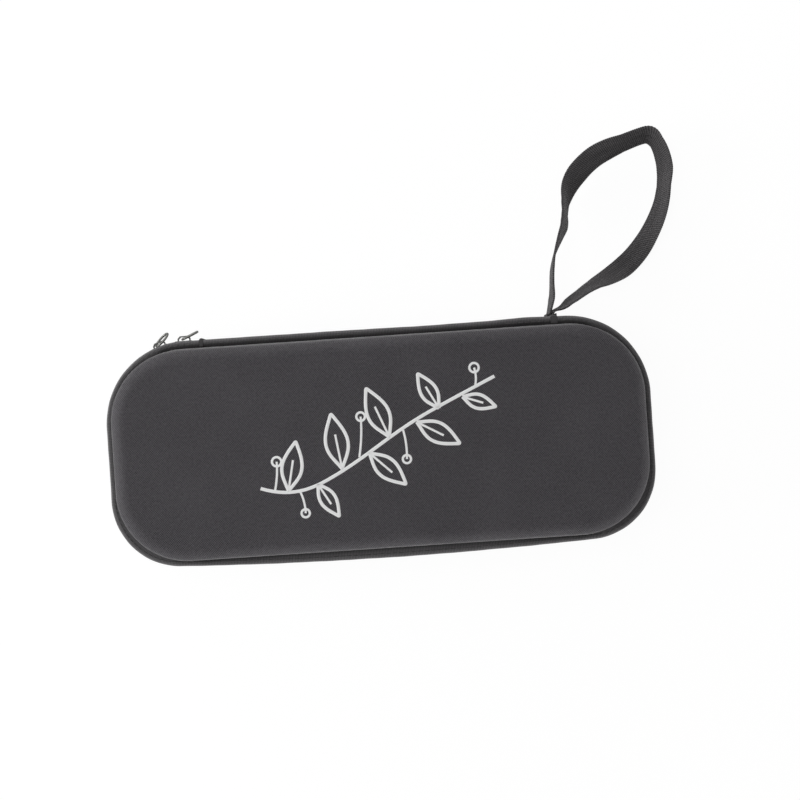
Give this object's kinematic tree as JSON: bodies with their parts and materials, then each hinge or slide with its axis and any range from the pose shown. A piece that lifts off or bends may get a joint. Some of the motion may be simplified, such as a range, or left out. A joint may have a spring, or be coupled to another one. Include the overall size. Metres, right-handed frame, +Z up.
{
  "type": "stethoscope hard case",
  "caption": "Long moulded foam case with rounded ends, a zip on three sides, a fabric hinge, a mesh pocket in the lid and a webbing wrist strap.",
  "frame": {"origin": "middle of the flat underside of the closed case", "axes": "+X along the case's length, with the wrist strap at the +X end of the back; +Y out of the hinged back; +Z up, out of the lid"},
  "size_m": [0.3101, 0.2215, 0.0502],
  "materials": {
    "shell_fabric": "fine woven nylon moulded over foam, dark charcoal, low sheen",
    "lining": "brushed knit lining, black",
    "binding": "folded bias tape, black",
    "zip_tape": "matte woven polyester tape, brownish charcoal",
    "zip_coil": "moulded nylon coil, black",
    "hinge_fabric": "matte woven cloth, charcoal",
    "slider_metal": "die-cast zinc, dark gunmetal lacquer",
    "wire": "dark gunmetal wire with a dull shine",
    "net": "open hexagonal net, black",
    "elastic": "ribbed woven elastic, black",
    "webbing": "ribbed polyester webbing, charcoal"
  },
  "bodies": {
    "base": {"base_shell": "shell_fabric", "base_lining": "lining", "base_binding": "binding", "zip_tape_lower": "zip_tape", "zip_coil_lower": "zip_coil", "hinge_strip": "hinge_fabric", "hinge_lining": "binding", "base_seam_ridges": "hinge_fabric", "wrist_strap": "webbing", "strap_root": "hinge_fabric", "elastic_band": "elastic", "elastic_patches": "elastic"},
    "lid": {"lid_shell": "shell_fabric", "lid_lining": "lining", "lid_binding": "binding", "zip_tape_upper": "zip_tape", "zip_coil_upper": "zip_coil", "lid_seam_ridges": "hinge_fabric", "mesh_pocket": "net", "pocket_hem": "elastic", "pocket_binding": "binding"},
    "slider_left": {"slider_1": "slider_metal", "slider_1_bridge": "slider_metal"},
    "slider_right": {"slider_2": "slider_metal", "slider_2_bridge": "slider_metal"},
    "pull_left": {"pull_1": "wire"},
    "pull_right": {"pull_2": "wire"}
  },
  "joints": [
    {"name": "lid_hinge", "type": "hinge", "parent": "base", "child": "lid", "pos_m": [0, 0.0604, 0.025], "axis": [-1, 0, 0], "range_deg": [0, 90], "deforming": ["hinge_strip", "hinge_lining"]},
    {"name": "slider_1_travel", "type": "hinge", "parent": "base", "child": "slider_left", "pos_m": [-0.0995, 0.0164, 0.025], "axis": [0, 0, 1], "range_deg": [0, 66], "deforming": ["zip_coil_lower", "zip_coil_upper"]},
    {"name": "slider_2_travel", "type": "hinge", "parent": "base", "child": "slider_right", "pos_m": [-0.0995, 0.0164, 0.025], "axis": [0, 0, 1], "range_deg": [0, 2]},
    {"name": "pull_1_swing", "type": "hinge", "parent": "slider_left", "child": "pull_left", "pos_m": [-0.1143, 0.05811, 0.025], "axis": [-0.6588, -0.2204, -0.7193], "range_deg": [-110, 2]},
    {"name": "pull_2_swing", "type": "hinge", "parent": "slider_right", "child": "pull_right", "pos_m": [-0.10107, 0.06063, 0.025], "axis": [-0.3745, -0.0065, -0.9272], "range_deg": [-85, 2]}
  ]
}
